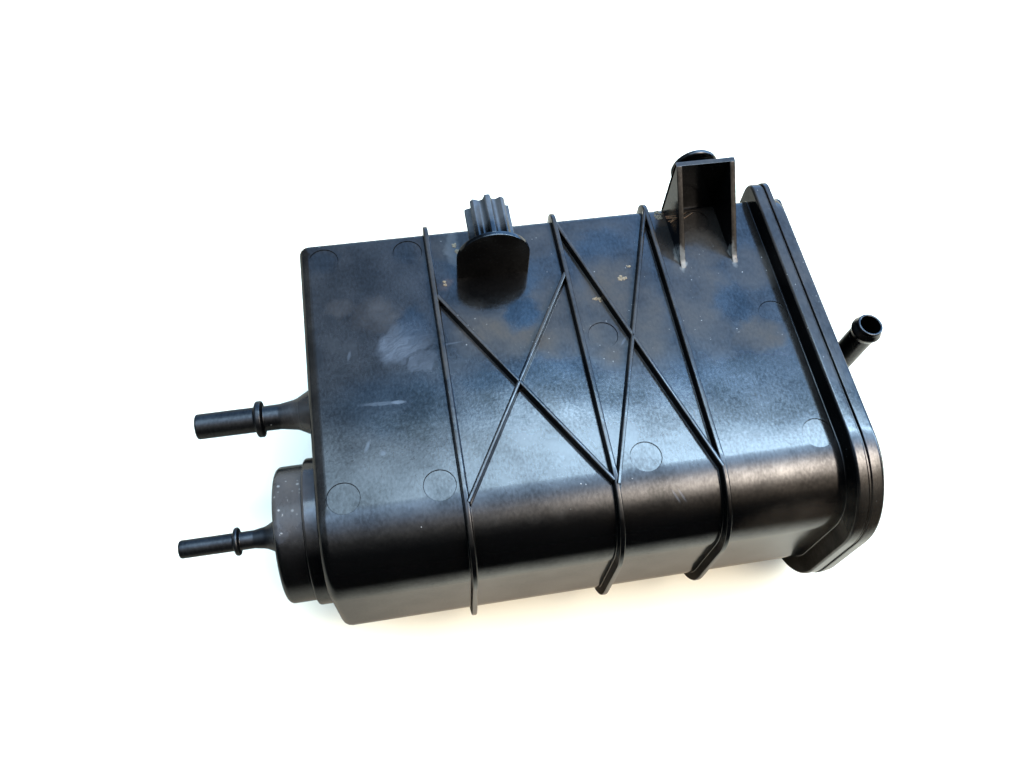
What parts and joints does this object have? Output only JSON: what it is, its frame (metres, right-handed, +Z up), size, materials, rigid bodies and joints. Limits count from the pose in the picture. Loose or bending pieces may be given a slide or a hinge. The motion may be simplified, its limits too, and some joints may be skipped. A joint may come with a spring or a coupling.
{
  "type": "charcoal canister",
  "caption": "Flat moulded charcoal canister with hoop ribs and crossed braces, tank and purge spigots at one end, a welded cover with a vent nozzle at the other, and two hanging pegs.",
  "frame": {"origin": "middle of the overall box, at the base", "axes": "+X from the port end to the cover, +Y the way the two pegs point, +Z up out of the broad ribbed face"},
  "size_m": [0.3182, 0.1756, 0.1336],
  "materials": {
    "moulded_shell": "semi-gloss moulded nylon, dusty and scuffed",
    "cap_plastic": "matt moulded nylon with dried dirt",
    "grid_plastic": "plain moulded nylon",
    "filter_fleece": "needled polyester fleece",
    "filter_foam": "open-cell foam",
    "activated_carbon": "packed black pellets",
    "spring_steel": "drawn spring wire"
  },
  "bodies": {
    "root": {"canister_body": "moulded_shell", "end_cover": "moulded_shell", "purge_cap": "cap_plastic", "purge_dust_screen": "grid_plastic", "purge_dust_foam": "filter_foam", "tank_grid": "grid_plastic", "purge_grid": "grid_plastic", "tank_fleece": "filter_fleece", "purge_fleece": "filter_fleece", "carbon_bed": "activated_carbon", "vent_fleece": "filter_fleece", "vent_foam": "filter_foam", "pressure_plate": "grid_plastic", "spring_near_top": "spring_steel", "spring_near_bottom": "spring_steel", "spring_far_top": "spring_steel", "spring_far_bottom": "spring_steel"}
  },
  "joints": []
}
